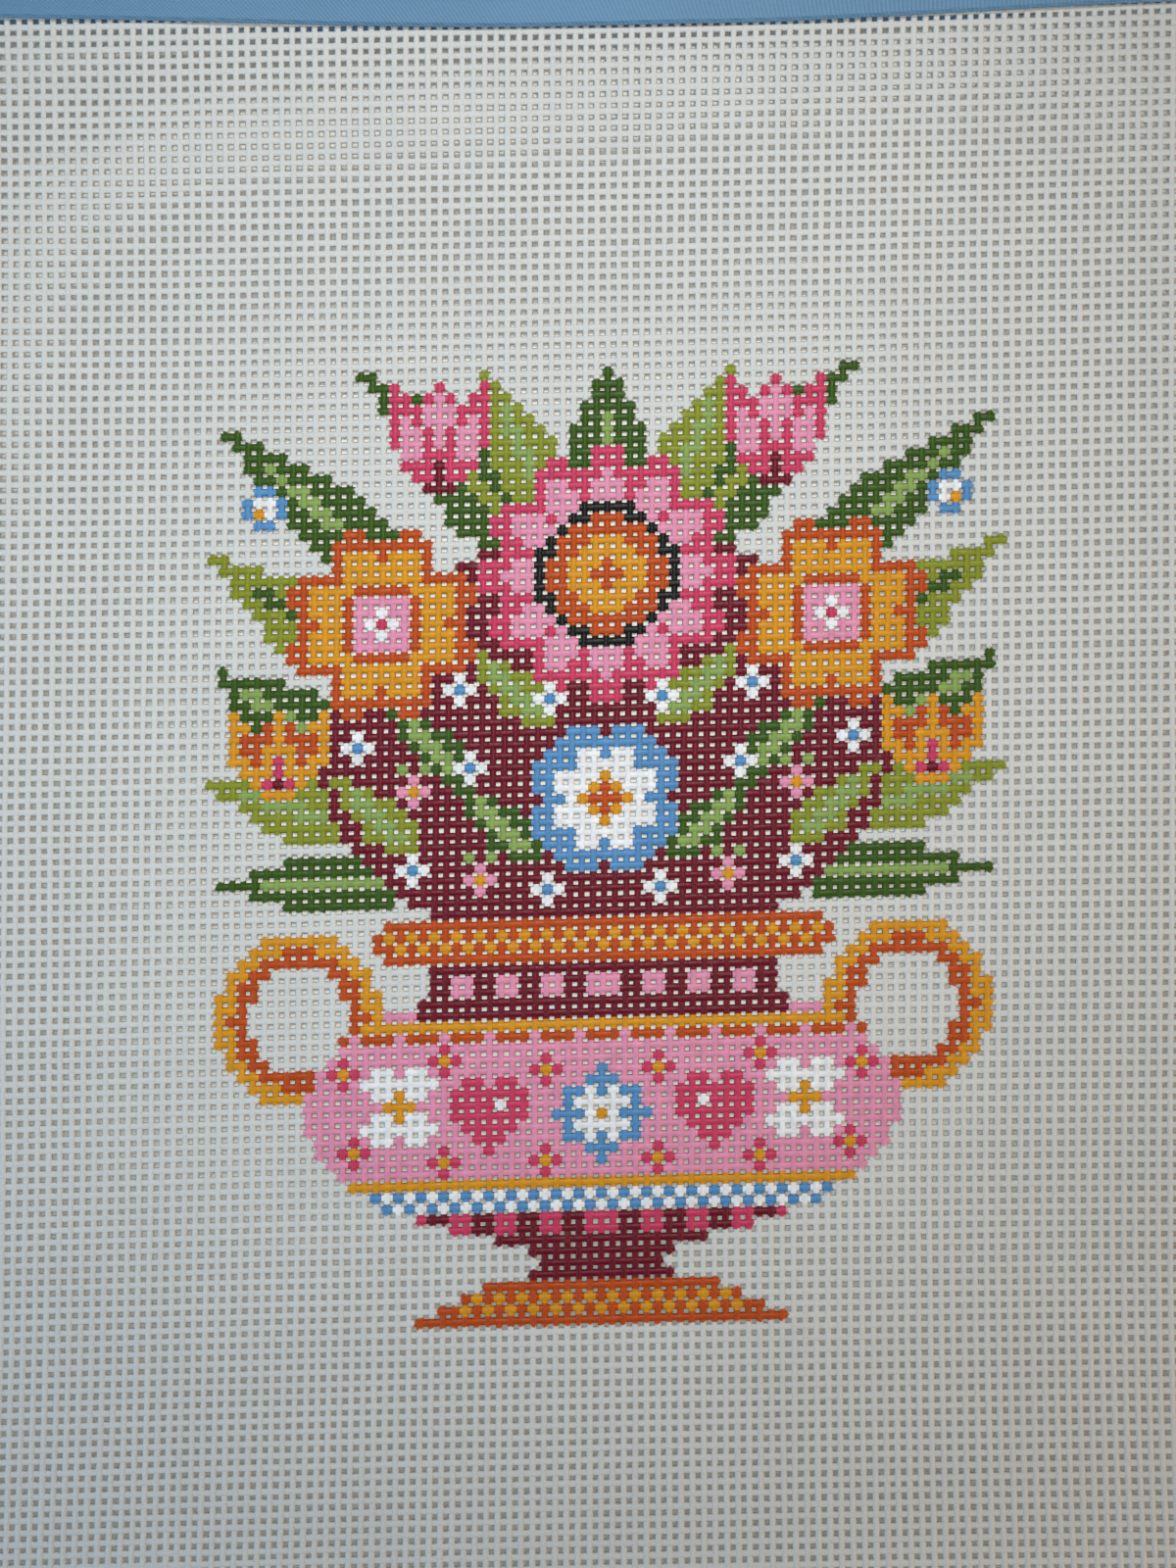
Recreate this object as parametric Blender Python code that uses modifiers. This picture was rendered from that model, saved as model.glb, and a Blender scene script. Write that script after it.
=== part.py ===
"""A painted needlepoint canvas, bound with folded tape and lying a little curled.

Every piece is made flat, in the weave's own square coordinates, and is then settled: the
rows get their slant and the sheet gets its lift. Metres, +Z up, +Y to the picture's top.
The origin is on the table under the middle of the canvas.
"""
from math import cos, hypot, pi, radians, sin, tan

import bmesh
import bpy
from mathutils import Matrix, Vector

# The weave: one warp and one weft thread to each pitch.
THREADS_PER_INCH = 18
PITCH = 0.0254 / THREADS_PER_INCH
DESIGN_COLUMNS = 71
DESIGN_ROWS = 85
MARGIN_THREADS = 29

# The canvas, cut a little larger than what is meant to stay open between the tapes.
CANVAS_THICKNESS = 0.0010
EDGE_MARGIN = 0.0100
CANVAS_WIDTH = (DESIGN_COLUMNS + 2 * MARGIN_THREADS) * PITCH + 2 * EDGE_MARGIN
CANVAS_LENGTH = (DESIGN_ROWS + 2 * MARGIN_THREADS) * PITCH + 2 * EDGE_MARGIN
CANVAS_CELL = 0.0080

# The tape, folded over each edge. It laps the canvas less towards both ends of the sewing,
# and everywhere a little more at the back than at the front.
TAPE_THICKNESS = 0.0010
TAPE_FRONT_LAP = 0.0090
TAPE_BACK_EXTRA = 0.0003
TAPE_SHORT_START = 0.0021
TAPE_START_BEGINS = -0.085
TAPE_START_ENDS = -0.010
TAPE_SHORT_END = 0.0014
TAPE_END_BEGINS = 0.015
TAPE_END_ENDS = 0.080
TAPE_CELL = 0.0080
TAPE_FLAP_STEPS = 2
TAPE_FOLD_STEPS = 6
PIECE_GAP = 0.0003

# How the sheet lies: flat on the table in its middle, lifted towards its edges, and twisted
# so that two opposite corners stand higher than the other two.
ROW_SLANT = radians(1.8)
LIFT_POWER = 2.4
LIFT_LEFT = {"starts": 0.020, "height": 0.0032}
LIFT_RIGHT = {"starts": 0.008, "height": 0.0043}
LIFT_TOP = {"starts": 0.042, "height": 0.0029}
LIFT_BOTTOM = {"starts": 0.010, "height": 0.0080}
TWIST = 0.5
RIPPLE = 0.05
RIPPLE_ACROSS = 0.037
RIPPLE_ALONG = 0.031

SMOOTH_ANGLE = radians(40)

CANVAS_COLOUR = (0.56, 0.57, 0.55)
TAPE_COLOUR = (0.15, 0.31, 0.51)


def clear_scene():
    for obj in list(bpy.data.objects):
        bpy.data.objects.remove(obj, do_unlink=True)


def new_collection(name):
    collection = bpy.data.collections.new(name)
    bpy.context.scene.collection.children.link(collection)
    return collection


def cloth_material(name, colour, roughness):
    material = bpy.data.materials.new(name)
    material.use_nodes = True
    shader = material.node_tree.nodes["Principled BSDF"]
    shader.inputs["Base Color"].default_value = (*colour, 1.0)
    shader.inputs["Roughness"].default_value = roughness
    shader.inputs["Metallic"].default_value = 0.0
    material.diffuse_color = (*colour, 1.0)
    return material


def smooth_step(start, end, value):
    share = min(1.0, max(0.0, (value - start) / (end - start)))
    return share * share * (3.0 - 2.0 * share)


def side_lift(distance, reach, side):
    """How far one side's curl lifts a point that lies distance out from the middle."""
    share = max(0.0, (distance - side["starts"]) / (reach - side["starts"]))
    return side["height"] * share ** LIFT_POWER


def lift(across, along):
    """Height of the sheet's underside over the table."""
    half_width = CANVAS_WIDTH / 2
    half_length = CANVAS_LENGTH / 2
    sideways = max(side_lift(-across, half_width, LIFT_LEFT), side_lift(across, half_width, LIFT_RIGHT))
    endways = max(side_lift(-along, half_length, LIFT_BOTTOM), side_lift(along, half_length, LIFT_TOP))
    twist = 1.0 - TWIST * across / half_width * along / half_length
    ripple = 1.0 + RIPPLE * sin(across / RIPPLE_ACROSS) * cos(along / RIPPLE_ALONG)
    return hypot(sideways, endways) * twist * ripple


def settled(point):
    """Where a point of the flat, square pattern lies on the skewed, lifted sheet."""
    return Vector((point.x, point.y + point.x * tan(ROW_SLANT), point.z + lift(point.x, point.y)))


def add_grid(name, steps_x, steps_y):
    """A flat grid of unit half size, which each piece then maps to its own shape."""
    bpy.ops.mesh.primitive_grid_add(x_subdivisions=steps_x, y_subdivisions=steps_y, size=2.0)
    grid = bpy.context.object
    grid.name = name
    grid.data.name = name
    return grid


def thicken(obj, thickness):
    """Give an open surface its wall, on the side that its faces look to."""
    solidify = obj.modifiers.new("thickness", "SOLIDIFY")
    solidify.thickness = thickness
    solidify.offset = 1.0
    solidify.use_even_offset = True


def take_evaluated_mesh(obj):
    """Replace the object's mesh by what its modifiers make of it."""
    evaluated = obj.evaluated_get(bpy.context.evaluated_depsgraph_get())
    mesh = bpy.data.meshes.new_from_object(evaluated)
    obj.modifiers.clear()
    obj.data = mesh
    mesh.name = obj.name


def settle(obj, collection, material):
    """Lay a flat-made piece in the folds of the sheet and put it in its collection."""
    for vertex in obj.data.vertices:
        vertex.co = settled(vertex.co)
    obj.data.materials.clear()
    obj.data.materials.append(material)
    obj.data.shade_smooth()
    obj.data.set_sharp_from_angle(angle=SMOOTH_ANGLE)
    for owner in list(obj.users_collection):
        owner.objects.unlink(obj)
    collection.objects.link(obj)


def build_canvas(collection, material):
    canvas = add_grid("canvas", round(CANVAS_WIDTH / CANVAS_CELL), round(CANVAS_LENGTH / CANVAS_CELL))
    canvas.data.transform(Matrix.Diagonal((CANVAS_WIDTH / 2, CANVAS_LENGTH / 2, 1.0, 1.0)))
    thicken(canvas, CANVAS_THICKNESS)
    take_evaluated_mesh(canvas)
    settle(canvas, collection, material)


def front_lap(along):
    """How far the tape's front reaches over the canvas at one place along its edge."""
    start = TAPE_SHORT_START * (1.0 - smooth_step(TAPE_START_BEGINS, TAPE_START_ENDS, along))
    end = TAPE_SHORT_END * smooth_step(TAPE_END_BEGINS, TAPE_END_ENDS, along)
    return TAPE_FRONT_LAP - start - end


def fold_point(step, along):
    """A point on the inside of the folded tape: its distance out from the canvas's edge,
    and its height. The steps run over the front flap, round the fold and back underneath."""
    radius = CANVAS_THICKNESS / 2 + PIECE_GAP
    round_step = step - TAPE_FLAP_STEPS
    if round_step < 0:
        return round_step / TAPE_FLAP_STEPS * front_lap(along), CANVAS_THICKNESS + PIECE_GAP
    if round_step > TAPE_FOLD_STEPS:
        back_step = round_step - TAPE_FOLD_STEPS
        back_lap = front_lap(along) + TAPE_BACK_EXTRA
        return -back_step / TAPE_FLAP_STEPS * back_lap, -PIECE_GAP
    angle = pi / 2 - pi * round_step / TAPE_FOLD_STEPS
    return radius * cos(angle), CANVAS_THICKNESS / 2 + radius * sin(angle)


def cut_mitres(mesh, half_edge, edge_distance):
    """Cut both ends of a strip along the diagonals of the canvas's corners."""
    shape = bmesh.new()
    shape.from_mesh(mesh)
    clearance = hypot(PIECE_GAP / 2, PIECE_GAP / 2)
    for side in (-1, 1):
        everything = shape.verts[:] + shape.edges[:] + shape.faces[:]
        corner = Vector((side * (half_edge - clearance), edge_distance, 0.0))
        cut = bmesh.ops.bisect_plane(
            shape, geom=everything, plane_co=corner, plane_no=(side, -1.0, 0.0), clear_outer=True)
        rim = [item for item in cut["geom_cut"] if isinstance(item, bmesh.types.BMEdge)]
        filled = bmesh.ops.edgeloop_fill(shape, edges=rim)
        bmesh.ops.triangulate(shape, faces=filled["faces"])
    bmesh.ops.recalc_face_normals(shape, faces=shape.faces[:])
    shape.to_mesh(mesh)
    shape.free()


def build_binding(name, quarter_turns, half_edge, edge_distance, collection, material):
    """One strip of tape, made along the top edge and turned to its own."""
    outer_radius = CANVAS_THICKNESS / 2 + PIECE_GAP + TAPE_THICKNESS
    half_strip = half_edge + 2 * outer_radius
    strip_steps = round(2 * half_strip / TAPE_CELL)
    fold_steps = 2 * TAPE_FLAP_STEPS + TAPE_FOLD_STEPS
    strip = add_grid(name, strip_steps, fold_steps)
    for vertex in strip.data.vertices:
        along = vertex.co.x * half_strip
        step = round((vertex.co.y + 1.0) / 2 * fold_steps)
        out, height = fold_point(step, along)
        vertex.co = (along, edge_distance + out, height)
    thicken(strip, TAPE_THICKNESS)
    take_evaluated_mesh(strip)
    cut_mitres(strip.data, half_edge, edge_distance)
    strip.data.transform(Matrix.Rotation(quarter_turns * pi / 2, 4, "Z"))
    settle(strip, collection, material)


def build_bindings(collection):
    half_width = CANVAS_WIDTH / 2
    half_length = CANVAS_LENGTH / 2
    strips = (
        ("binding_top", 0, half_width, half_length),
        ("binding_left", 1, half_length, half_width),
        ("binding_bottom", 2, half_width, half_length),
        ("binding_right", 3, half_length, half_width),
    )
    for name, quarter_turns, half_edge, edge_distance in strips:
        material = cloth_material(name, TAPE_COLOUR, 0.55)
        build_binding(name, quarter_turns, half_edge, edge_distance, collection, material)


def main():
    clear_scene()
    collection = new_collection("needlepoint_canvas")
    build_canvas(collection, cloth_material("canvas", CANVAS_COLOUR, 0.75))
    build_bindings(collection)


main()
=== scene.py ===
"""The looks of a hand-painted needlepoint canvas: its threads, its paint, its tape and sewing.

Every piece is made flat, in the weave's own square coordinates (u across, v along), and is
then settled on the slant and the lift that the solids have. Metres, +Z up.
"""

from math import atan2, cos, hypot, pi, radians, sin, sqrt, tan

import bpy
import numpy as np
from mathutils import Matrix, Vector


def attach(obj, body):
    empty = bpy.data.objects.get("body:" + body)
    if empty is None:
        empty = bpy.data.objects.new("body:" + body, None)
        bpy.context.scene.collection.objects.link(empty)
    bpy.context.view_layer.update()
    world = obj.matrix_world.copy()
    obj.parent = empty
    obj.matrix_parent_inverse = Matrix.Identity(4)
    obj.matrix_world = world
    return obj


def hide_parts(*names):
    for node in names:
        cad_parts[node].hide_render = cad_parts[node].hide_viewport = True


# The weave and the canvas, as the solids have them.
THREADS_PER_INCH = 18
PITCH = 0.0254 / THREADS_PER_INCH
DESIGN_COLUMNS = 71
DESIGN_ROWS = 85
MARGIN_THREADS = 29
EDGE_MARGIN = 0.0100
HALF_WIDTH = (DESIGN_COLUMNS + 2 * MARGIN_THREADS) * PITCH / 2 + EDGE_MARGIN
HALF_LENGTH = (DESIGN_ROWS + 2 * MARGIN_THREADS) * PITCH / 2 + EDGE_MARGIN

# How the sheet lies, as the solids have it.
ROW_SLANT = radians(1.8)
LIFT_POWER = 2.4
LIFT_LEFT = {"starts": 0.020, "height": 0.0032}
LIFT_RIGHT = {"starts": 0.008, "height": 0.0043}
LIFT_TOP = {"starts": 0.042, "height": 0.0029}
LIFT_BOTTOM = {"starts": 0.010, "height": 0.0080}
TWIST = 0.5
RIPPLE = 0.05
RIPPLE_ACROSS = 0.037
RIPPLE_ALONG = 0.031

# The threads. A few more than those that stay open run on between the tapes.
HIDDEN_THREADS = 4
LAST_WARP = (DESIGN_COLUMNS - 1) // 2 + MARGIN_THREADS + HIDDEN_THREADS
LAST_WEFT = (DESIGN_ROWS - 1) // 2 + MARGIN_THREADS + HIDDEN_THREADS
BUNDLES = 3
WEAVE_MIDDLE = 0.00034
WARP_HALF_WIDTH = 0.00044
WEFT_HALF_WIDTH = 0.00049
THREAD_HALF_HEIGHT = 0.00021
THREAD_CROWN = 0.00005
OVER_SWELLS = 0.04
CROSSING_FLATTENS = 0.15

# A thread's sides in turn are its flat top, a flank, the two sides of its keel and the other
# flank. This is how much paint each of them takes.
THREAD_SIDES = 5
KEEL_SIDES = (2, 3)
PAINT_ON_SIDES = (1.0, 0.90, 0.34, 0.34, 0.90)

# The threads' unevenness. Each has its own width, which swells and shrinks in a wave, and goes
# to and fro in two waves. All drift together over the sheet. A length is one radian of a wave.
RANDOM_SEED = 18
WIDTH_SPREAD = 0.04
WIDTH_WAVE = 0.04
WIDTH_WAVE_LENGTH = 0.0031
WANDER = 0.00003
WANDER_LENGTH = 0.011
FINE_WANDER_SHARE = 0.7
FINE_WANDER_LENGTH = 0.0043
DRIFT = 0.00010
DRIFT_ACROSS = {"u_length": 0.050, "v_length": 0.021}
DRIFT_ALONG = {"u_length": 0.026, "v_length": -0.045}

# The UV maps: the middle thread's number, how much of a unit one turn round a thread takes,
# and the bare rim of the tape's map.
MIDDLE_STRAND = 500
STRAND_TURN = 0.98
MAP_RIM = 0.005

# The tape: a front and a back flap joined by a fold, with turned-in hems. It laps the canvas
# less towards both ends of the sewing, and a little more at the back than at the front. Its
# mitred ends keep the clearance from the diagonals of the canvas's corners.
TAPE_BACK_EXTRA = 0.0003
TAPE_FRONT_LAP = 0.0090
TAPE_SHORT_START = 0.0021
TAPE_START_BEGINS = -0.085
TAPE_START_ENDS = -0.010
TAPE_SHORT_END = 0.0014
TAPE_END_BEGINS = 0.015
TAPE_END_ENDS = 0.080
TAPE_CLEARANCE = 0.00004

# The tape's cross-section. Its faces' heights count from the sheet's underside.
TAPE_CLOTH = 0.00050
TAPE_FRONT_INSIDE = 0.00070
TAPE_FRONT = TAPE_FRONT_INSIDE + TAPE_CLOTH
TAPE_BACK_INSIDE = -0.00003
TAPE_BACK = TAPE_BACK_INSIDE - TAPE_CLOTH
TAPE_FOLD_SHIFT = 0.00070
TAPE_WIDTH = 2 * TAPE_FRONT_LAP + TAPE_BACK_EXTRA + 2 * pi * TAPE_CLOTH
TAPE_STEPS = 130
FOLD_STEPS = 10
FOLD_INSIDE_STEPS = 4
HEM_STEPS = 6

# Where the rows of points across a flap lie, out from its hem and out from the canvas's edge.
FLAP_ROWS = np.array([0.25, 0.5, 0.9, 1.4, 2.0, 2.7, 3.1, 3.4, 3.6, 3.8, 4.1, 4.6]) / 1000
FLAP_INSIDE_ROW = 0.0030
EDGE_ROWS = (-0.0018, -0.0009)
EDGE_INSIDE_ROW = -0.0020

# The bead along the hem, and the hem's ups and downs between the stitches.
BEAD = 0.00006
BEAD_FROM_HEM = 0.0009
BEAD_SPREAD = 0.0007
PUCKER = 0.00005
PUCKER_LENGTH = 0.0041
SLOW_PUCKER_SHARE = 0.6
SLOW_PUCKER_LENGTH = 0.0093
PUCKER_PHASE = 1.7
PUCKER_REACH = 0.002

# The sewing along each tape. A stitch tapers and dips into its groove towards both ends.
SEWING_FROM_CORNER = 0.0105
STITCH_FROM_HEM = 0.0036
STITCH_EVERY = 0.0028
STITCH_LENGTH = 0.0023
STITCH_RADIUS = 0.00017
STITCH_TAPERS = 0.45
STITCH_STANDS = 0.75
STITCH_DIPS = 1.5
STITCH_RINGS = 7
STITCH_SIDES = 6
GROOVE = 0.00012
GROOVE_SPREAD = 0.0005

# Colours of the paints on the canvas, as they look in even light (sRGB, 0 to 255): burgundy,
# pink, hot pink, green, olive, light green, rust, yellow, blue, white and black.
PAINTS = {
    "B": (108, 6, 32),
    "P": (224, 144, 176),
    "H": (200, 56, 96),
    "G": (52, 84, 12),
    "O": (132, 142, 32),
    "L": (134, 162, 84),
    "R": (186, 72, 8),
    "Y": (214, 146, 18),
    "U": (82, 140, 194),
    "W": (236, 238, 242),
    "K": (14, 14, 16),
}
BARE = "."

# Colours of the bare materials, given in the same way, and the flat colours that stand for
# the finished materials where their nodes aren't read.
COTTON = (220, 222, 221)
FLAT_COTTON = (200, 202, 198)
TAPE_BLUE = (95, 143, 182)
FLAT_TAPE = (104, 152, 192)
SEWING_BLUE = (92, 140, 184)
FLAT_SEWING = (92, 138, 180)
TABLE_TOP = (246, 243, 236)
FLAT_TABLE = (224, 220, 210)
# Painted light: the table glows by this much, standing in for the light that comes through the threads
# onto it.
TABLE_GLOW = 0.06

# How fine the patterns in the materials are, in lumps a metre along each axis, but for the
# fibres in lumps a thread and lumps a metre along it.
BRUSH_EDGE = 1500.0
THIN_PAINT = 2600.0
WORN_PAINT = 420.0
PIGMENT = 900.0
UNEVEN_COTTON = 60.0
COTTON_FIBRES = (9.0, 900.0, 1.0)
COTTON_LUMPS = 1800.0
TAPE_FADING = 45.0
TAPE_SLUBS = (300.0, 2600.0, 1.0)
SEWING_PLY = (3000.0, 3000.0, 900.0)
TABLE_MOTTLE = 18.0

# The waves in the materials, in radians: for each turn round a thread and each metre along
# it, and for each metre along and across the tape.
COTTON_TWIST = (12.566, 8200.0)
TAPE_RIB = (11000.0, 5500.0)
TAPE_YARN = (2000.0, 21000.0)

# The painted leaves, in crossings. With this swell a leaf reaches its half width a third of
# the way along. The vein's ends are shares of the leaf's length.
LEAF_SWELL = 2.6
LEAF_LEAST = 0.75
VEIN_HALF_WIDTH = 0.55
VEIN_STARTS = 0.12
VEIN_ENDS = 0.78

# The urn's bowl and handles, in crossings from the design's middle line and its lowest row.
BOWL = {"middle": 18.5, "half_height": 12.3, "half_width": 26.4}
HANDLE = {"x": 27, "y": 27, "flattened": 0.95, "starts": 20}
HANDLE_RADII = {"inner": 4.4, "band": 6.0, "outer": 7.5}

# The light: the room's own, and lamps.
ROOM_COLOUR = (0.97, 0.985, 1.0, 1.0)
ROOM_STRENGTH = 0.14
DAYLIGHT = (0.98, 1.0, 0.985)
COOL_LIGHT = (0.52, 0.77, 1.0)
WARM_LIGHT = (1.0, 0.74, 0.46)
LAMPS = (
    {
        "name": "lamp", "kind": "SPOT", "watts": 5.6, "colour": DAYLIGHT,
        "place": (0.029, 0.280, 0.473), "aim": (-0.014, 0.059, 0.0),
        "form": {"shadow_soft_size": 0.04, "spot_size": radians(30), "spot_blend": 1.0},
    },
    {
        "name": "soft_box", "kind": "AREA", "watts": 0.16, "colour": DAYLIGHT,
        "place": (-0.010, 0.020, 0.250), "aim": (-0.010, 0.020, 0.0),
        "form": {"shape": "RECTANGLE", "size": 0.12, "size_y": 0.10},
    },
    {
        "name": "glow_left", "kind": "AREA", "watts": 0.41, "colour": COOL_LIGHT,
        "place": (-0.30, -0.09, 0.16), "aim": (0.0, -0.09, 0.0),
        "form": {"shape": "DISK", "size": 0.16},
    },
    {
        "name": "glow_right", "kind": "AREA", "watts": 0.39, "colour": WARM_LIGHT,
        "place": (0.30, -0.09, 0.16), "aim": (0.0, -0.09, 0.0),
        "form": {"shape": "DISK", "size": 0.16},
    },
)

# The camera: where it is, and how far it is off straight down and off square.
CAMERA_PLACE = (-0.0021, 0.0053, 0.230)
CAMERA_TILT = radians(0.52)
CAMERA_TURN = radians(0.38)
LENS_MM = 42.0
SENSOR_MM = 36.0
NEAREST_SEEN = 0.01


def linear(colour):
    """An sRGB colour of 0 to 255 as the linear values that a shader takes."""
    shares = np.asarray(colour, float) / 255
    return tuple(np.where(shares <= 0.04045, shares / 12.92, ((shares + 0.055) / 1.055) ** 2.4))


def solid(colour):
    """The same, with an alpha of 1."""
    return (*linear(colour), 1.0)


class Signal:
    """The output of a shader node. Arithmetic on signals adds the Math nodes that it needs."""

    def __init__(self, finish, socket):
        self.finish = finish
        self.socket = socket

    def maths(self, operation, *values):
        return self.finish.node("ShaderNodeMath", values, operation=operation)

    def __add__(self, other):
        return self.maths("ADD", self, other)

    def __radd__(self, other):
        return self.maths("ADD", other, self)

    def __sub__(self, other):
        return self.maths("SUBTRACT", self, other)

    def __rsub__(self, other):
        return self.maths("SUBTRACT", other, self)

    def __mul__(self, other):
        return self.maths("MULTIPLY", self, other)

    def __rmul__(self, other):
        return self.maths("MULTIPLY", other, self)

    def sine(self):
        return self.maths("SINE", self)

    def floor(self):
        return self.maths("FLOOR", self)

    def between(self, low, high):
        """0 below low, 1 above high, and a smooth rise between them."""
        settings = {"interpolation_type": "SMOOTHSTEP"}
        return self.finish.node("ShaderNodeMapRange", [self, low, high], **settings)

    def scaled(self, factors):
        """A vector signal, times one number along each axis."""
        return self.finish.node("ShaderNodeVectorMath", [self, factors], operation="MULTIPLY")


class Finish:
    """One material: a Principled shader, and the nodes that feed it."""

    def __init__(self, name, flat_colour):
        self.material = bpy.data.materials.new(name)
        self.material.use_nodes = True
        self.material.diffuse_color = solid(flat_colour)
        self.tree = self.material.node_tree
        self.shader = self.tree.nodes["Principled BSDF"]

    def node(self, kind, values=(), output=0, **settings):
        """Add a node, set it up, then give its inputs, in order or by number, their values."""
        made = self.tree.nodes.new(kind)
        for setting, value in settings.items():
            setattr(made, setting, value)
        numbered = values.items() if isinstance(values, dict) else enumerate(values)
        for number, value in numbered:
            self.give(made.inputs[number], value)
        return Signal(self, made.outputs[output])

    def give(self, socket, value):
        if isinstance(value, Signal):
            self.tree.links.new(value.socket, socket)
        else:
            socket.default_value = value

    def set(self, **values):
        """Give the shader's sockets their values. Underscores stand for the spaces."""
        for name, value in values.items():
            self.give(self.shader.inputs[name.replace("_", " ")], value)

    def place(self):
        return self.node("ShaderNodeTexCoord", output="Object")

    def uv(self, name):
        return self.node("ShaderNodeUVMap", uv_map=name)

    def split(self, vector):
        """The three numbers of a vector signal."""
        parts = self.node("ShaderNodeSeparateXYZ", [vector])
        return [Signal(self, socket) for socket in parts.socket.node.outputs]

    def noise(self, vector, scale, detail=2.0):
        return self.node("ShaderNodeTexNoise", {"Vector": vector, "Scale": scale, "Detail": detail})

    def mix(self, share, first, second):
        """Two colours, blended by a share."""
        values = {0: share, 6: first, 7: second}
        return self.node("ShaderNodeMix", values, output=2, data_type="RGBA")

    def shade(self, colour, brightness):
        """A colour signal or colour, times a brightness signal."""
        grey = self.node("ShaderNodeCombineXYZ", [brightness, brightness, brightness])
        values = {0: 1.0, 6: colour, 7: grey}
        return self.node("ShaderNodeMix", values, output=2, data_type="RGBA", blend_type="MULTIPLY")

    def bump(self, height, distance):
        return self.node("ShaderNodeBump", {"Height": height, "Distance": distance})


def side_lift(distance, reach, side):
    share = np.maximum(0.0, (distance - side["starts"]) / (reach - side["starts"]))
    return side["height"] * share ** LIFT_POWER


def lift(u, v):
    """Height of the sheet's underside over the table."""
    sideways = np.maximum(side_lift(-u, HALF_WIDTH, LIFT_LEFT), side_lift(u, HALF_WIDTH, LIFT_RIGHT))
    endways = np.maximum(side_lift(-v, HALF_LENGTH, LIFT_BOTTOM), side_lift(v, HALF_LENGTH, LIFT_TOP))
    twist = 1.0 - TWIST * u / HALF_WIDTH * v / HALF_LENGTH
    ripple = 1.0 + RIPPLE * np.sin(u / RIPPLE_ACROSS) * np.cos(v / RIPPLE_ALONG)
    return np.hypot(sideways, endways) * twist * ripple


def settled(u, v, z):
    """Where points of the flat, square pattern lie on the skewed, lifted sheet."""
    return np.stack([u, v + u * tan(ROW_SLANT), z + lift(u, v)], axis=-1)


def swept_faces(tubes, rings, sides):
    """The quads and the end caps of tubes whose points are numbered tube, ring, side."""
    numbers = np.arange(tubes * rings * sides).reshape(tubes, rings, sides)
    turned = np.roll(numbers, -1, axis=2)
    corners = (numbers[:, :-1], numbers[:, 1:], turned[:, 1:], turned[:, :-1])
    quads = np.stack(corners, axis=-1).reshape(-1, 4)
    caps = np.concatenate([numbers[:, 0], numbers[:, -1, ::-1]])
    return quads, caps


def mesh_piece(name, points, faces):
    """A smooth-shaded object from arrays of points and of faces, all faces of an array alike."""
    corners = np.concatenate([rows.ravel() for rows in faces]).astype(np.int32)
    sizes = np.concatenate([np.full(len(rows), rows.shape[1]) for rows in faces])
    starts = np.concatenate([[0], np.cumsum(sizes)[:-1]]).astype(np.int32)
    mesh = bpy.data.meshes.new(name)
    mesh.vertices.add(points.size // 3)
    mesh.vertices.foreach_set("co", points.astype(np.float32).ravel())
    mesh.loops.add(len(corners))
    mesh.loops.foreach_set("vertex_index", corners)
    mesh.polygons.add(len(sizes))
    mesh.polygons.foreach_set("loop_start", starts)
    mesh.update(calc_edges=True)
    mesh.shade_smooth()
    piece = bpy.data.objects.new(name, mesh)
    bpy.context.scene.collection.objects.link(piece)
    return piece


def add_uv(piece, name, values):
    """A UV map from values for the first corners. The caps' corners, which come last, get none."""
    layer = piece.data.uv_layers.new(name=name)
    filled = np.zeros((len(piece.data.loops), 2), np.float32)
    filled[: values.size // 2] = values.reshape(-1, 2)
    layer.data.foreach_set("uv", filled.ravel())


class Chart:
    """The painted design: one key for each crossing, 0 being bare. It is alike left and right."""

    def __init__(self):
        self.half = DESIGN_COLUMNS // 2
        self.keys = [BARE, *PAINTS]
        self.cells = np.zeros((DESIGN_ROWS, DESIGN_COLUMNS), int)

    def put(self, x, y, key):
        for side in (x, -x):
            if abs(side) <= self.half and 0 <= y < DESIGN_ROWS:
                self.cells[y, side + self.half] = self.keys.index(key)

    def fill(self, inside, key):
        """Paint the crossings of the right half for which inside(x, y) holds."""
        for x in range(self.half + 1):
            for y in range(DESIGN_ROWS):
                if inside(x, y):
                    self.put(x, y, key(x, y) if callable(key) else key)

    def blossom(self, cx, cy, rings):
        """Scalloped rings about one crossing, from the outermost in."""
        for ring in rings:
            def inside(x, y):
                angle = atan2(x - cx, y - cy) + ring["turn"]
                scallop = 1 - ring["depth"] * (1 - abs(cos(ring["petals"] / 2 * angle)))
                return hypot(x - cx, y - cy) <= ring["radius"] * scallop
            self.fill(inside, ring["key"])

    def leaf(self, start, end, half_width, key, vein):
        """A pointed leaf from its foot to its tip, with a vein along its middle."""
        swell = half_width * LEAF_SWELL
        length = hypot(end[0] - start[0], end[1] - start[1])
        ax = (end[0] - start[0]) / length
        ay = (end[1] - start[1]) / length

        def measure(x, y):
            along = ((x - start[0]) * ax + (y - start[1]) * ay) / length
            return along, abs((x - start[0]) * ay - (y - start[1]) * ax)

        def inside(x, y):
            along, off = measure(x, y)
            return 0 <= along <= 1 and off <= max(LEAF_LEAST, swell * sqrt(along) * (1 - along))

        def veined(x, y):
            along, off = measure(x, y)
            on_vein = off < VEIN_HALF_WIDTH and VEIN_STARTS < along < VEIN_ENDS
            return vein if on_vein else key

        self.fill(inside, veined)

    def stamp(self, cx, cy, rows):
        """A small motif, charted row by row, its middle at one crossing."""
        for row_number, row in enumerate(rows):
            for column, key in enumerate(row):
                if key != " ":
                    self.put(cx + column - len(row) // 2, cy + (len(rows) - 1) // 2 - row_number, key)


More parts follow.
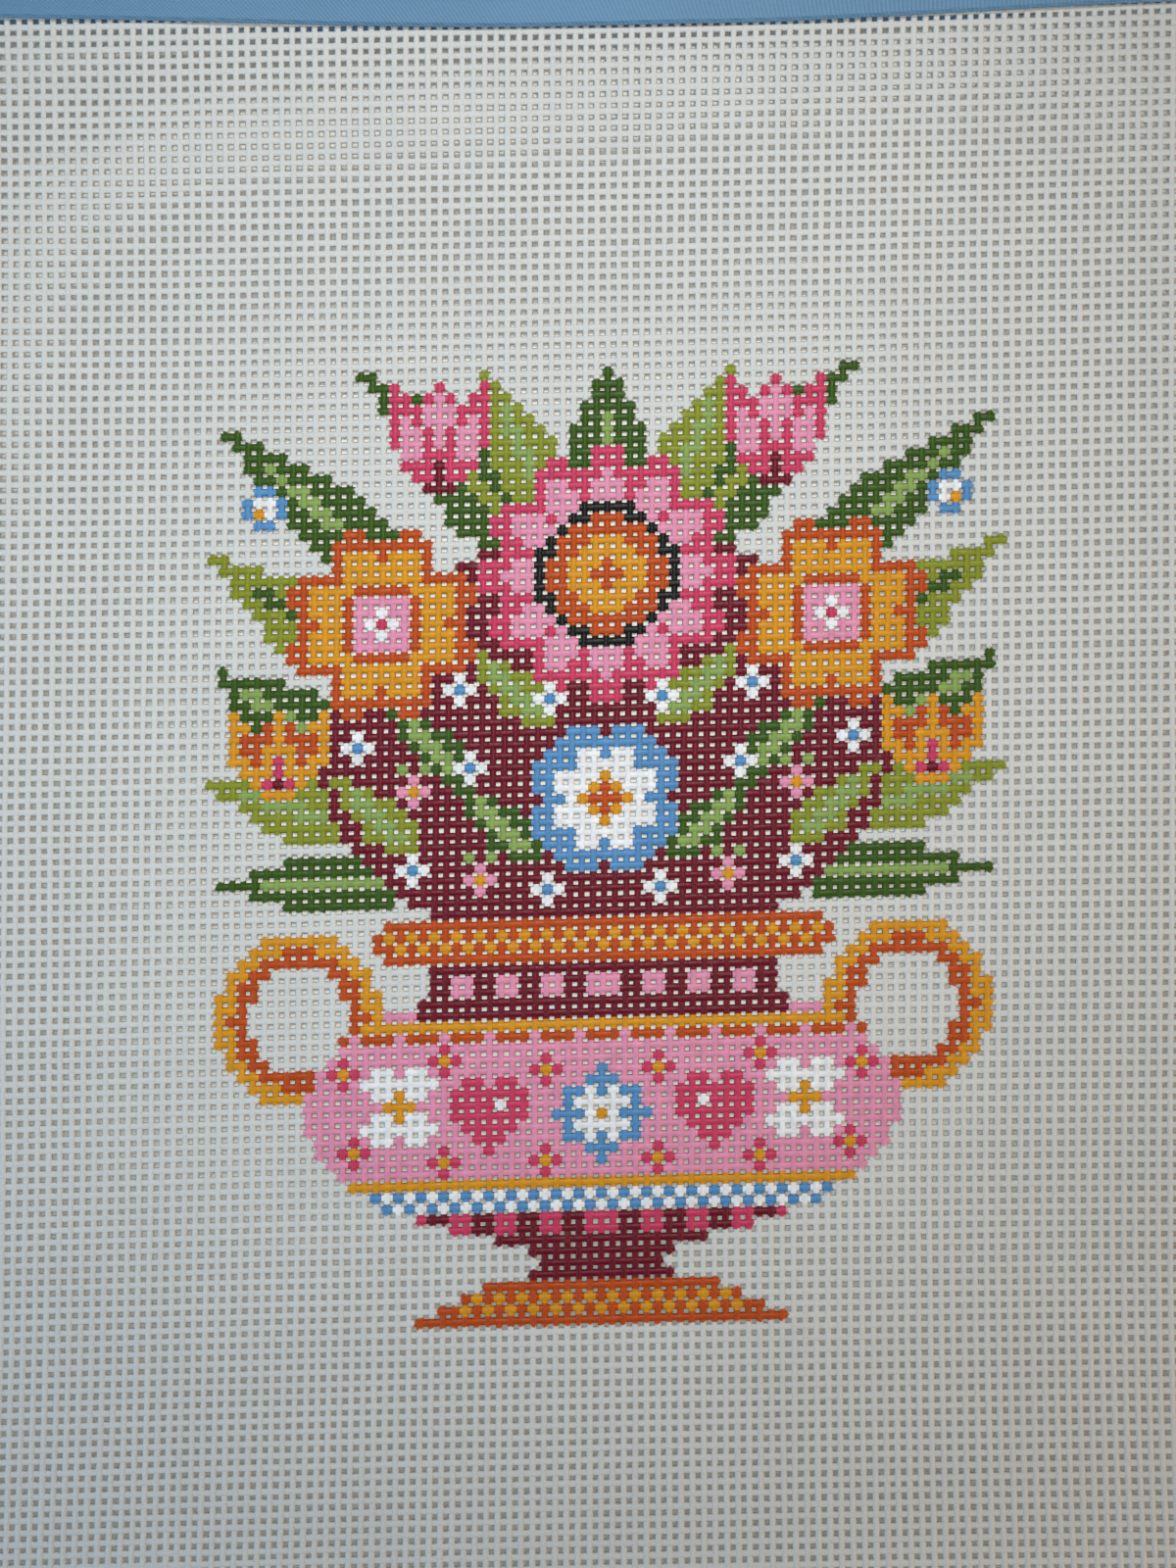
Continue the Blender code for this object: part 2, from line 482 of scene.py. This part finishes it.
# Blossoms, each from its outermost ring in: the ring's radius, its petals, how deep the
# scallops between them are, how far it is turned, and its paint.
PINK_BLOSSOM = (
    {"radius": 11.6, "petals": 12, "depth": 0.20, "turn": 0, "key": "H"},
    {"radius": 9.6, "petals": 12, "depth": 0.28, "turn": 0, "key": "P"},
    {"radius": 6.4, "petals": 8, "depth": 0.0, "turn": 0, "key": "K"},
    {"radius": 5.6, "petals": 8, "depth": 0.12, "turn": 0, "key": "R"},
    {"radius": 3.6, "petals": 8, "depth": 0.0, "turn": 0, "key": "Y"},
    {"radius": 1.6, "petals": 4, "depth": 0.2, "turn": 0, "key": "R"},
)
YELLOW_BLOSSOM = (
    {"radius": 8.6, "petals": 8, "depth": 0.18, "turn": 0.39, "key": "R"},
    {"radius": 6.8, "petals": 8, "depth": 0.26, "turn": 0.39, "key": "Y"},
    {"radius": 4.0, "petals": 8, "depth": 0.10, "turn": 0.39, "key": "R"},
    {"radius": 2.9, "petals": 4, "depth": 0.0, "turn": 0, "key": "P"},
    {"radius": 1.5, "petals": 4, "depth": 0.1, "turn": 0, "key": "W"},
    {"radius": 0.6, "petals": 4, "depth": 0.1, "turn": 0, "key": "H"},
)
BLUE_BLOSSOM = (
    {"radius": 7.4, "petals": 8, "depth": 0.20, "turn": 0.39, "key": "U"},
    {"radius": 5.0, "petals": 8, "depth": 0.28, "turn": 0.39, "key": "W"},
    {"radius": 2.3, "petals": 4, "depth": 0.1, "turn": 0, "key": "Y"},
    {"radius": 1.1, "petals": 4, "depth": 0.1, "turn": 0, "key": "R"},
)

# Small motifs, charted row by row.
TULIP = (
    "H   H   H",
    "HH HPH HH",
    "HHHPPPHHH",
    "HPHPPPHPH",
    "HPPHPHPPH",
    "HPPHPHPPH",
    " PPHHHPP ",
    " HHHBHHH ",
    "  HHBHH  ",
    "   BBB   ",
)
LILY = (
    "Y   Y   Y",
    "YY RYR YY",
    "YRRRYRRRY",
    "YRRYYYRRY",
    "YYRYHYRYY",
    " YYYHYYY ",
    "  YHBHY  ",
    "   YYY   ",
)
HEART = (
    " HH HH ",
    "HHHHHHH",
    "HHWHHHH",
    "HHHHHHH",
    " HHHHH ",
    "  HHH  ",
    "   H   ",
)
STAR = (
    "    U    ",
    "   UUU   ",
    " UUWUWUU ",
    " UWWWWWU ",
    "UUUWYWUUU",
    " UWWWWWU ",
    " UUWUWUU ",
    "   UUU   ",
    "    U    ",
)
DAISY = (
    " WW WW ",
    "WWWWWWW",
    " WWYWW ",
    "  YYY  ",
    " WWYWW ",
    "WWWWWWW",
    " WW WW ",
)
SMALL_BLOOM = (
    " UU ",
    "UWWU",
    "UWYU",
    " UU ",
)
BERRY = (
    " W ",
    "WUW",
    " W ",
)
SPRIG = (
    "L L",
    " P ",
    "PYP",
    " P ",
)
SPANGLE = (
    " H ",
    "HYH",
    " H ",
)


def bowl_reach(y):
    """How far the bowl reaches from its middle line at one row."""
    height = (y - BOWL["middle"]) / BOWL["half_height"]
    return BOWL["half_width"] * sqrt(max(0.0, 1 - height ** 2))


def paint_urn(chart):
    """An urn but for its handles, from its foot up."""
    def checks(x, y):
        return "U" if (x + y) % 2 else "W"

    # Its foot and stem.
    chart.fill(lambda x, y: y <= 3 and x <= 16 - y * 2, "R")
    chart.fill(lambda x, y: y in (1, 2) and x <= 15 - y * 2 and (x + y) % 2, "Y")
    chart.fill(lambda x, y: 4 <= y <= 6 and x <= 5 + abs(y - 5), "B")

    # Its bowl, with the bands round it.
    chart.fill(lambda x, y: 7 <= y <= 30 and x <= bowl_reach(y), "P")
    chart.fill(lambda x, y: 7 <= y <= 11 and x <= bowl_reach(y), "B")
    chart.fill(lambda x, y: y in (8, 9) and x <= bowl_reach(y) and x % 4 < 2, "H")
    chart.fill(lambda x, y: y in (10, 11) and x <= bowl_reach(y), checks)
    chart.fill(lambda x, y: y in (12, 26) and x <= bowl_reach(y), "Y")
    chart.fill(lambda x, y: y == 25 and x <= bowl_reach(y) and x % 4 != 2, "R")

    # Its neck and rim.
    chart.fill(lambda x, y: 27 <= y <= 31 and x <= 16 - (y > 28), "B")
    chart.fill(lambda x, y: y in (29, 30) and x <= 13 and x % 4 in (0, 1), "P")
    chart.fill(lambda x, y: 32 <= y <= 35 and x <= 20 - (y in (32, 35)), "R")
    chart.fill(lambda x, y: y in (33, 34) and x <= 19 and (x + y) % 2, "Y")


def paint_handles(chart):
    def from_middle(x, y):
        return hypot(x - HANDLE["x"], (y - HANDLE["y"]) * HANDLE["flattened"])

    def on_handle(x, y):
        bare = chart.cells[y, x + chart.half] == 0
        radius = from_middle(x, y)
        return bare and x >= HANDLE["starts"] and HANDLE_RADII["inner"] <= radius <= HANDLE_RADII["outer"]

    def band(x, y):
        return "Y" if from_middle(x, y) > HANDLE_RADII["band"] else "R"

    chart.fill(on_handle, band)


def paint_frieze(chart):
    chart.stamp(0, 18, STAR)
    chart.stamp(10, 18, HEART)
    chart.stamp(18, 19, DAISY)
    for x, y in ((5, 22), (5, 14), (14, 23), (14, 14), (22, 15), (23, 22)):
        chart.stamp(x, y, SPANGLE)


def paint_bouquet(chart):
    leaves = (
        {"start": (0, 66), "end": (0, 84.9), "half_width": 4.6, "key": "G", "vein": "L"},
        {"start": (6, 68), "end": (22, 84.9), "half_width": 3.8, "key": "G", "vein": "O"},
        {"start": (4, 70), "end": (11, 84), "half_width": 3.0, "key": "O", "vein": "L"},
        {"start": (18, 66), "end": (34, 79), "half_width": 3.4, "key": "G", "vein": "L"},
        {"start": (21, 58), "end": (35, 68), "half_width": 3.2, "key": "O", "vein": "G"},
        {"start": (22, 50), "end": (35, 58), "half_width": 3.2, "key": "G", "vein": "L"},
        {"start": (22, 44), "end": (35, 48), "half_width": 2.8, "key": "O", "vein": "L"},
        {"start": (17, 39), "end": (34, 39), "half_width": 3.0, "key": "G", "vein": "L"},
    )
    for leaf in leaves:
        chart.leaf(**leaf)
    chart.fill(lambda x, y: 36 <= y < 72 and hypot(x / 25.5, (y - 51) / 19) <= 1, "B")
    for x, y, key in ((9, 44, "G"), (15, 51, "G"), (8, 56, "O"), (20, 45, "O")):
        chart.leaf((x - 3, y - 3), (x + 4, y + 3), 2.0, key, "L")
    chart.blossom(0, 66, PINK_BLOSSOM)
    chart.blossom(20, 62, YELLOW_BLOSSOM)
    chart.blossom(0, 46, BLUE_BLOSSOM)
    chart.stamp(29, 51, LILY)
    chart.stamp(15, 79, TULIP)
    chart.stamp(31, 73, SMALL_BLOOM)
    for x, y in ((12, 49), (5, 38), (17, 40), (22, 51), (5, 55), (13, 56)):
        chart.stamp(x, y, BERRY)
    for x, y in ((11, 40), (17, 48)):
        chart.stamp(x, y, SPRIG)


def painted_crossings():
    """The paint's number at each crossing of all the threads, with a bare crossing all round."""
    chart = Chart()
    paint_urn(chart)
    paint_handles(chart)
    paint_bouquet(chart)
    paint_frieze(chart)
    spare_rows = LAST_WEFT - DESIGN_ROWS // 2 + 1
    spare_columns = LAST_WARP - DESIGN_COLUMNS // 2 + 1
    return np.pad(chart.cells, ((spare_rows, spare_rows), (spare_columns, spare_columns)))


def thread_paint(crossings, half_steps):
    """Colour and coverage for each corner of the threads' quads. crossings has one row for
    each thread, and starts one crossing before the thread's first."""
    palette = np.array([(1.0, 1.0, 1.0)] + [linear(colour) for colour in PAINTS.values()])
    nearest = (half_steps[:-1] + 1) // 2 - half_steps[0] // 2
    starts_at_gap = half_steps[:-1] % 2 == 1
    own = crossings[:, nearest]
    next_to = crossings[:, nearest + np.where(starts_at_gap, -1, 1)]
    colour = palette[np.where(own > 0, own, next_to)]
    at_crossing = (own > 0).astype(float)
    at_gap = (at_crossing + (next_to > 0)) / 2
    first = np.where(starts_at_gap, at_gap, at_crossing)
    last = np.where(starts_at_gap, at_crossing, at_gap)
    coverage = np.stack([first, last, last, first], axis=-1)
    tubes, steps = own.shape
    paint = np.empty((tubes, steps, THREAD_SIDES, 4, 4), np.float32)
    paint[..., :3] = colour[:, :, None, None, :]
    paint[..., 3] = coverage[:, :, None, :] * np.array(PAINT_ON_SIDES)[:, None]
    return paint


def drift(u, v, lengths):
    return DRIFT * np.sin(u / lengths["u_length"] + v / lengths["v_length"])


def thread_angles():
    """The directions of a thread's corners about its middle, the first two level and on top."""
    return np.radians(90 + 360 / THREAD_SIDES * (np.arange(THREAD_SIDES) - 0.5))


def thread_points(numbers, is_warp, half_width, half_steps, random):
    """The points of a group of threads, numbered thread, ring, side. There is a ring at each
    crossing and at each gap, and every other crossing lies higher."""
    tubes = len(numbers)
    along = half_steps * PITCH / 2
    rise = np.cos(pi * half_steps / 2) * np.where(numbers % 2 == 0, 1, -1)[:, None]
    if not is_warp:
        rise = -rise
    phases = random.uniform(0, 2 * pi, (3, tubes, 1))
    slow_wander = np.sin(along / WANDER_LENGTH + phases[0])
    fine_wander = FINE_WANDER_SHARE * np.sin(along / FINE_WANDER_LENGTH + phases[1])
    aside = (numbers * PITCH)[:, None] + WANDER * (slow_wander + fine_wander)
    width = half_width * (1 + WIDTH_SPREAD * random.uniform(-1, 1, (tubes, 1)))
    width = width * (1 + OVER_SWELLS * rise)
    width = width * (1 + WIDTH_WAVE * np.sin(along / WIDTH_WAVE_LENGTH + phases[2]))
    thick = THREAD_HALF_HEIGHT * (1 - CROSSING_FLATTENS * rise ** 2)
    angles = thread_angles()
    side = aside[..., None] + (1 if is_warp else -1) * width[..., None] * np.cos(angles)
    height = (WEAVE_MIDDLE + THREAD_CROWN * rise)[..., None] + thick[..., None] * np.sin(angles)
    ahead = np.broadcast_to(along[None, :, None], side.shape)
    u, v = (side, ahead) if is_warp else (ahead, side)
    return settled(u + drift(u, v, DRIFT_ACROSS), v + drift(u, v, DRIFT_ALONG), height)


def add_paint(piece, paint):
    """The paint, as colour and coverage of the first corners. The caps stay bare."""
    layer = piece.data.color_attributes.new("Paint", "FLOAT_COLOR", "CORNER")
    filled = np.zeros((len(piece.data.loops), 4), np.float32)
    filled[: paint.size // 4] = paint.reshape(-1, 4)
    layer.data.foreach_set("color", filled.ravel())


def add_thread_maps(piece, numbers, half_width, half_steps):
    """Two UV maps: the thread's number and turn by the metres along it, for the material, and
    all threads side by side, their upper sides in one half and their keels in the other."""
    tubes, rings = len(numbers), len(half_steps)
    sides = np.broadcast_to(np.arange(THREAD_SIDES)[:, None], (tubes, rings - 1, THREAD_SIDES, 4))
    corner = sides + np.array([0, 0, 1, 1])
    ring = np.arange(rings - 1)[None, :, None, None] + np.array([0, 1, 1, 0])
    strand = np.empty((tubes, rings - 1, THREAD_SIDES, 4, 2))
    strand[..., 0] = (numbers + MIDDLE_STRAND)[:, None, None, None] + corner / THREAD_SIDES * STRAND_TURN
    strand[..., 1] = half_steps[0] * PITCH / 2 + ring * PITCH / 2
    add_uv(piece, "Strand", strand)

    reach = np.cos(thread_angles())[corner % THREAD_SIDES] * half_width / PITCH
    lane = np.arange(tubes)[:, None, None, None] + 0.5 + reach
    flat = np.empty_like(strand)
    flat[..., 0] = 0.5 * lane / tubes + np.where(np.isin(sides, KEEL_SIDES), 0.5, 0.0)
    flat[..., 1] = ring / (rings - 1)
    add_uv(piece, "OFBake", flat)


def build_bundle(name, numbers, is_warp, crossings, material, random):
    """One group of neighbouring threads of the canvas."""
    last = LAST_WEFT if is_warp else LAST_WARP
    half_width = WARP_HALF_WIDTH if is_warp else WEFT_HALF_WIDTH
    half_steps = np.arange(-2 * last - 1, 2 * last + 2)
    points = thread_points(numbers, is_warp, half_width, half_steps, random)
    piece = mesh_piece(name, points, swept_faces(*points.shape[:3]))
    piece.data.materials.append(material)
    add_paint(piece, thread_paint(crossings, half_steps))
    add_thread_maps(piece, numbers, half_width, half_steps)
    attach(piece, "root")
    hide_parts("canvas")


def build_weave(material):
    crossings = painted_crossings()
    random = np.random.default_rng(RANDOM_SEED)
    for is_warp, last, word in ((True, LAST_WARP, "warp"), (False, LAST_WEFT, "weft")):
        rows = crossings.T[1:-1] if is_warp else crossings[1:-1]
        for number, group in enumerate(np.array_split(np.arange(-last, last + 1), BUNDLES), 1):
            chosen = rows[group + last]
            build_bundle(f"canvas_{word}_{number}", group, is_warp, chosen, material, random)


def smooth_step(start, end, value):
    share = np.clip((value - start) / (end - start), 0.0, 1.0)
    return share * share * (3.0 - 2.0 * share)


def flap_lap(along, is_front):
    """How far a flap of the tape reaches over the canvas at places along its edge."""
    start = TAPE_SHORT_START * (1.0 - smooth_step(TAPE_START_BEGINS, TAPE_START_ENDS, along))
    end = TAPE_SHORT_END * smooth_step(TAPE_END_BEGINS, TAPE_END_ENDS, along)
    front = TAPE_FRONT_LAP - start - end
    return np.where(is_front, front, front + TAPE_BACK_EXTRA)


def flap_surface(from_hem):
    """How far a flap's outer face stands out at a distance from its hem: a soft bead along
    the hem, and a groove along the sewing."""
    bead = BEAD * np.exp(-((from_hem - BEAD_FROM_HEM) / BEAD_SPREAD) ** 2)
    groove = GROOVE * np.exp(-((from_hem - STITCH_FROM_HEM) / GROOVE_SPREAD) ** 2)
    return bead - groove


def fold_round(middle, radius, directions):
    """Rows round the tape's fold, in directions given as degrees up from the canvas's plane."""
    rows = []
    for degrees in directions:
        angle = radians(degrees)
        rows.append((degrees >= 0, 0, TAPE_FOLD_SHIFT + radius * cos(angle), middle + radius * sin(angle)))
    return rows


def hem_round(is_front, height):
    """The rounded edge of a flap, as a half circle that bulges towards the picture's middle."""
    radius = TAPE_CLOTH / 2
    rows = []
    for degrees in np.linspace(-90, -270, HEM_STEPS + 1):
        angle = radians(degrees)
        rows.append((is_front, 1, radius + radius * cos(angle), height + radius * sin(angle)))
    return rows


def tape_outline():
    """The tape's closed cross-section, from the front hem out to the fold, round underneath to
    the back hem, and back along the inside. Each row: is it on the front, does its distance
    count from the hem (1) or from the canvas's edge (0), that distance outwards, the height."""
    middle = (TAPE_FRONT + TAPE_BACK) / 2
    inside = (TAPE_FRONT_INSIDE - TAPE_BACK_INSIDE) / 2
    rows = [(1, 1, row, TAPE_FRONT + flap_surface(row)) for row in FLAP_ROWS]
    rows += [(1, 0, row, TAPE_FRONT) for row in EDGE_ROWS]
    rows += fold_round(middle, TAPE_FRONT - middle, np.linspace(90, -90, FOLD_STEPS + 1))
    rows += [(0, 0, row, TAPE_BACK) for row in EDGE_ROWS[::-1]]
    rows += [(0, 1, row, TAPE_BACK - flap_surface(row)) for row in FLAP_ROWS[::-1]]
    rows += hem_round(0, (TAPE_BACK + TAPE_BACK_INSIDE) / 2)
    rows += [(0, 1, FLAP_INSIDE_ROW, TAPE_BACK_INSIDE), (0, 0, EDGE_INSIDE_ROW, TAPE_BACK_INSIDE)]
    rows += fold_round(middle, inside, np.linspace(-90, 90, FOLD_INSIDE_STEPS + 1))
    rows += [(1, 0, EDGE_INSIDE_ROW, TAPE_FRONT_INSIDE), (1, 1, FLAP_INSIDE_ROW, TAPE_FRONT_INSIDE)]
    rows += hem_round(1, (TAPE_FRONT + TAPE_FRONT_INSIDE) / 2)
    return np.array(rows, float)


def turned(along, away, quarter_turns):
    """The flat coordinates of a point along and away on the top edge, for any of the edges."""
    turns = {0: (along, away), 1: (-away, along), 2: (-along, -away), 3: (away, -along)}
    return turns[quarter_turns]


def pucker(along, quarter_turns):
    """The hem's slight ups and downs between the stitches."""
    phase = PUCKER_PHASE * quarter_turns
    slow = SLOW_PUCKER_SHARE * np.sin(along / SLOW_PUCKER_LENGTH + 2 * phase)
    return PUCKER * (np.sin(along / PUCKER_LENGTH + phase) + slow)


def add_tape_maps(piece, outline, half_edge):
    """Two UV maps: the metres along and across the cloth, for the material, and the tape's two
    halves side by side."""
    _, from_hem, distance, height = outline.T
    sides = len(outline)
    out = np.where(from_hem > 0.5, distance - TAPE_FRONT_LAP, distance)
    closed = np.append(np.arange(sides), 0)
    steps = np.hypot(np.diff(out[closed]), np.diff(height[closed]))
    path = np.concatenate([[0.0], np.cumsum(steps)])
    across = path[np.arange(sides)[:, None] + np.array([0, 0, 1, 1])]
    ring = np.arange(TAPE_STEPS)[:, None, None] + np.array([0, 1, 1, 0])
    cloth = np.empty((TAPE_STEPS, sides, 4, 2))
    cloth[..., 0] = ring * 2 * half_edge / TAPE_STEPS
    cloth[..., 1] = across
    add_uv(piece, "Cloth", cloth)

    half = TAPE_STEPS // 2
    second = (np.arange(TAPE_STEPS) >= half)[:, None, None]
    flat = np.empty_like(cloth)
    flat[..., 0] = across / path[-1] * (0.5 - 2 * MAP_RIM) + np.where(second, 0.5 + MAP_RIM, MAP_RIM)
    flat[..., 1] = (ring - np.where(second, half, 0)) / (TAPE_STEPS - half) * (1 - 2 * MAP_RIM) + MAP_RIM
    add_uv(piece, "OFBake", flat)


def build_tape(name, quarter_turns, half_edge, edge_distance, material):
    """One folded tape, its ends on the diagonals of the canvas's corners."""
    outline = tape_outline()
    is_front, from_hem, distance, height = outline.T
    share = np.linspace(-1, 1, TAPE_STEPS + 1)[:, None]
    lap = flap_lap(share * half_edge, is_front > 0.5)
    out = np.where(from_hem > 0.5, distance - lap, distance)
    along = share * (half_edge + out - TAPE_CLEARANCE)
    near_hem = np.where(from_hem > 0.5, np.exp(-distance / PUCKER_REACH), 0.0)
    lifted = height + pucker(along, quarter_turns) * near_hem * np.where(is_front > 0.5, 1, -1)
    u, v = turned(along, edge_distance + out, quarter_turns)
    points = settled(u, v, lifted)[None]
    piece = mesh_piece(name, points, swept_faces(*points.shape[:3]))
    piece.data.materials.append(material)
    add_tape_maps(piece, outline, half_edge)
    return piece


def stitch_points(quarter_turns, half_edge, edge_distance, is_front):
    """The stitches along one flap: short strands that dip into the cloth at both ends."""
    reach = half_edge - SEWING_FROM_CORNER
    middles = np.arange(-reach, reach + STITCH_EVERY / 2, STITCH_EVERY)[:, None]
    share = np.linspace(-1, 1, STITCH_RINGS)
    along = middles + share * STITCH_LENGTH / 2
    out = STITCH_FROM_HEM - flap_lap(along, is_front)
    surface = TAPE_FRONT if is_front else -TAPE_BACK
    outwards = surface - GROOVE + STITCH_RADIUS * (STITCH_STANDS - STITCH_DIPS * share ** 4)
    radius = STITCH_RADIUS * (1 - STITCH_TAPERS * share ** 4)
    angles = np.radians(np.arange(0, 360, 360 // STITCH_SIDES))
    handed = 1 if is_front else -1
    away = edge_distance + out[..., None] + handed * radius[:, None] * np.cos(angles)
    height = handed * (outwards[:, None] - radius[:, None] * np.sin(angles))
    ahead = np.broadcast_to(along[..., None], away.shape)
    u, v = turned(ahead, away, quarter_turns)
    return settled(u, v, np.broadcast_to(height, away.shape))


def build_sewing(name, quarter_turns, half_edge, edge_distance, material):
    """One machine-sewn row through both flaps, as it shows on the front and on the back."""
    rows = [stitch_points(quarter_turns, half_edge, edge_distance, front) for front in (True, False)]
    points = np.concatenate(rows)
    piece = mesh_piece(name, points, swept_faces(*points.shape[:3]))
    piece.data.materials.append(material)
    return piece


def build_bindings(tape_material, sewing_material):
    strips = (
        ("top", 0, HALF_WIDTH, HALF_LENGTH),
        ("left", 1, HALF_LENGTH, HALF_WIDTH),
        ("bottom", 2, HALF_WIDTH, HALF_LENGTH),
        ("right", 3, HALF_LENGTH, HALF_WIDTH),
    )
    for side, quarter_turns, half_edge, edge_distance in strips:
        tape = build_tape(f"tape_{side}", quarter_turns, half_edge, edge_distance, tape_material)
        sewing = build_sewing(f"sewing_{side}", quarter_turns, half_edge, edge_distance, sewing_material)
        for piece in (tape, sewing):
            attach(piece, "root")
        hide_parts(f"binding_{side}")
        size = (TAPE_WIDTH, 2 * half_edge)


def painted_cotton():
    """Stiff white cotton thread, with artist's paint brushed onto its crowns."""
    finish = Finish("painted cotton thread", FLAT_COTTON)
    place = finish.place()
    strand_u, strand_v, _ = finish.split(finish.uv("Strand"))
    paint = finish.node("ShaderNodeAttribute", attribute_name="Paint", attribute_type="GEOMETRY")
    amount = Signal(finish, paint.socket.node.outputs["Alpha"])

    edge = finish.noise(place, BRUSH_EDGE)
    thin = finish.noise(place, THIN_PAINT)
    worn = finish.noise(place, WORN_PAINT)
    brushed = (amount + (edge - 0.5) * 0.7).between(0.40, 0.60)
    covered = brushed * (1 - thin.between(0.70, 0.80) * 0.30) * (1 - worn.between(0.66, 0.84) * 0.06)

    thread = finish.node("ShaderNodeTexWhiteNoise", {"W": strand_u.floor()}, noise_dimensions="1D")
    uneven = finish.noise(place, UNEVEN_COTTON)
    fibres = finish.noise(finish.uv("Strand").scaled(COTTON_FIBRES), 1.0)
    light = 0.92 + thread * 0.04 + (uneven - 0.5) * 0.08 + (fibres - 0.5) * 0.08
    cotton = finish.shade(solid(COTTON), light)
    pigment = finish.shade(paint, 0.74 + finish.noise(place, PIGMENT) * 0.52)
    finish.set(
        Base_Color=finish.mix(covered, cotton, pigment),
        Roughness=0.84 - covered * 0.44 + (fibres - 0.5) * 0.14,
        Specular_IOR_Level=0.24,
    )
    twist = (strand_u * COTTON_TWIST[0] + strand_v * COTTON_TWIST[1]).sine() * (1 - covered * 0.6)
    lumps = finish.noise(place, COTTON_LUMPS, detail=3.0)
    finish.set(Normal=finish.bump(twist * 0.4 + lumps, distance=0.00004))
    return finish.material


def blue_tape():
    """Fine blue twill, a little shiny."""
    finish = Finish("blue twill tape", FLAT_TAPE)
    along, across, _ = finish.split(finish.uv("Cloth"))
    rib = (along * TAPE_RIB[0] + across * TAPE_RIB[1]).sine()
    yarn = (along * TAPE_YARN[0] + across * TAPE_YARN[1]).sine()
    fading = finish.noise(finish.place(), TAPE_FADING)
    slub = finish.noise(finish.uv("Cloth").scaled(TAPE_SLUBS), 1.0)
    light = 0.92 + rib * 0.08 + yarn * 0.02 + (fading - 0.5) * 0.16 + (slub - 0.5) * 0.16
    finish.set(
        Base_Color=finish.shade(solid(TAPE_BLUE), light),
        Roughness=0.50 + (slub - 0.5) * 0.2,
        Sheen_Weight=0.15,
    )
    finish.set(Normal=finish.bump(rib * 0.6 + yarn * 0.3 + slub, distance=0.00003))
    return finish.material


def sewing_thread():
    """Smooth blue thread, its plies just showing."""
    finish = Finish("blue sewing thread", FLAT_SEWING)
    ply = finish.noise(finish.place().scaled(SEWING_PLY), 1.0)
    finish.set(
        Base_Color=finish.shade(solid(SEWING_BLUE), 0.8 + ply * 0.4),
        Roughness=0.38 + ply * 0.1,
        Normal=finish.bump(ply, distance=0.00003),
    )
    return finish.material


def pale_table():
    """A pale surface, which glows a little as if by the light that comes through the threads."""
    finish = Finish("pale table top", FLAT_TABLE)
    mottle = finish.noise(finish.place(), TABLE_MOTTLE, detail=4.0)
    finish.set(
        Base_Color=finish.shade(solid(TABLE_TOP), 0.95 + mottle * 0.08),
        Roughness=0.62,
        # Painted light: the emission stands in for the light that comes through the threads.
        Emission_Color=solid(TABLE_TOP),
        Emission_Strength=TABLE_GLOW,
    )
    return finish.material


def build_floor():
    bpy.ops.object.select_all(action="DESELECT")
    bpy.ops.mesh.primitive_grid_add(x_subdivisions=4, y_subdivisions=4, size=8.0)
    floor = bpy.context.object
    floor.name = "floor"
    floor.data.materials.append(pale_table())


def add_lamp(name, kind, watts, colour, place, aim, form):
    """A lamp of one of Blender's kinds at one place, aimed at a point."""
    lamp = bpy.data.lights.new(name, kind)
    lamp.energy = watts
    lamp.color = colour
    for setting, value in form.items():
        setattr(lamp, setting, value)
    holder = bpy.data.objects.new(name, lamp)
    holder.location = place
    holder.rotation_euler = (Vector(aim) - Vector(place)).to_track_quat("-Z", "Y").to_euler()
    holder.visible_camera = False
    bpy.context.scene.collection.objects.link(holder)


def build_light():
    """A lamp from beyond the picture's top and a soft box over its middle, in an even room. A
    cool glow comes from the left and a warm one from the right."""
    world = bpy.data.worlds.new("room")
    world.use_nodes = True
    bpy.context.scene.world = world
    room = world.node_tree.nodes["Background"]
    room.inputs["Color"].default_value = ROOM_COLOUR
    room.inputs["Strength"].default_value = ROOM_STRENGTH
    for lamp in LAMPS:
        add_lamp(**lamp)


def build_camera():
    """Above the picture's middle and held by hand, as for the photograph."""
    camera = bpy.data.cameras.new("camera")
    camera.lens = LENS_MM
    camera.sensor_width = SENSOR_MM
    camera.clip_start = NEAREST_SEEN
    holder = bpy.data.objects.new("camera", camera)
    holder.location = CAMERA_PLACE
    holder.rotation_euler = (CAMERA_TILT, 0.0, CAMERA_TURN)
    bpy.context.scene.collection.objects.link(holder)
    bpy.context.scene.camera = holder
    bpy.context.scene.view_settings.view_transform = "Standard"


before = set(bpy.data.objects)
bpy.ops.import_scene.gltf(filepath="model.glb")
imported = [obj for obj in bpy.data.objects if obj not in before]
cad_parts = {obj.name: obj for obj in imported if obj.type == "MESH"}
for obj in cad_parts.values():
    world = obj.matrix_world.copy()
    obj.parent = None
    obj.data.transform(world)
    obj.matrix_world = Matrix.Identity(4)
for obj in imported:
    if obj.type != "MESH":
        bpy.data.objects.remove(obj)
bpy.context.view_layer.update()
build_camera()
build_weave(painted_cotton())
build_bindings(blue_tape(), sewing_thread())
build_floor()
build_light()
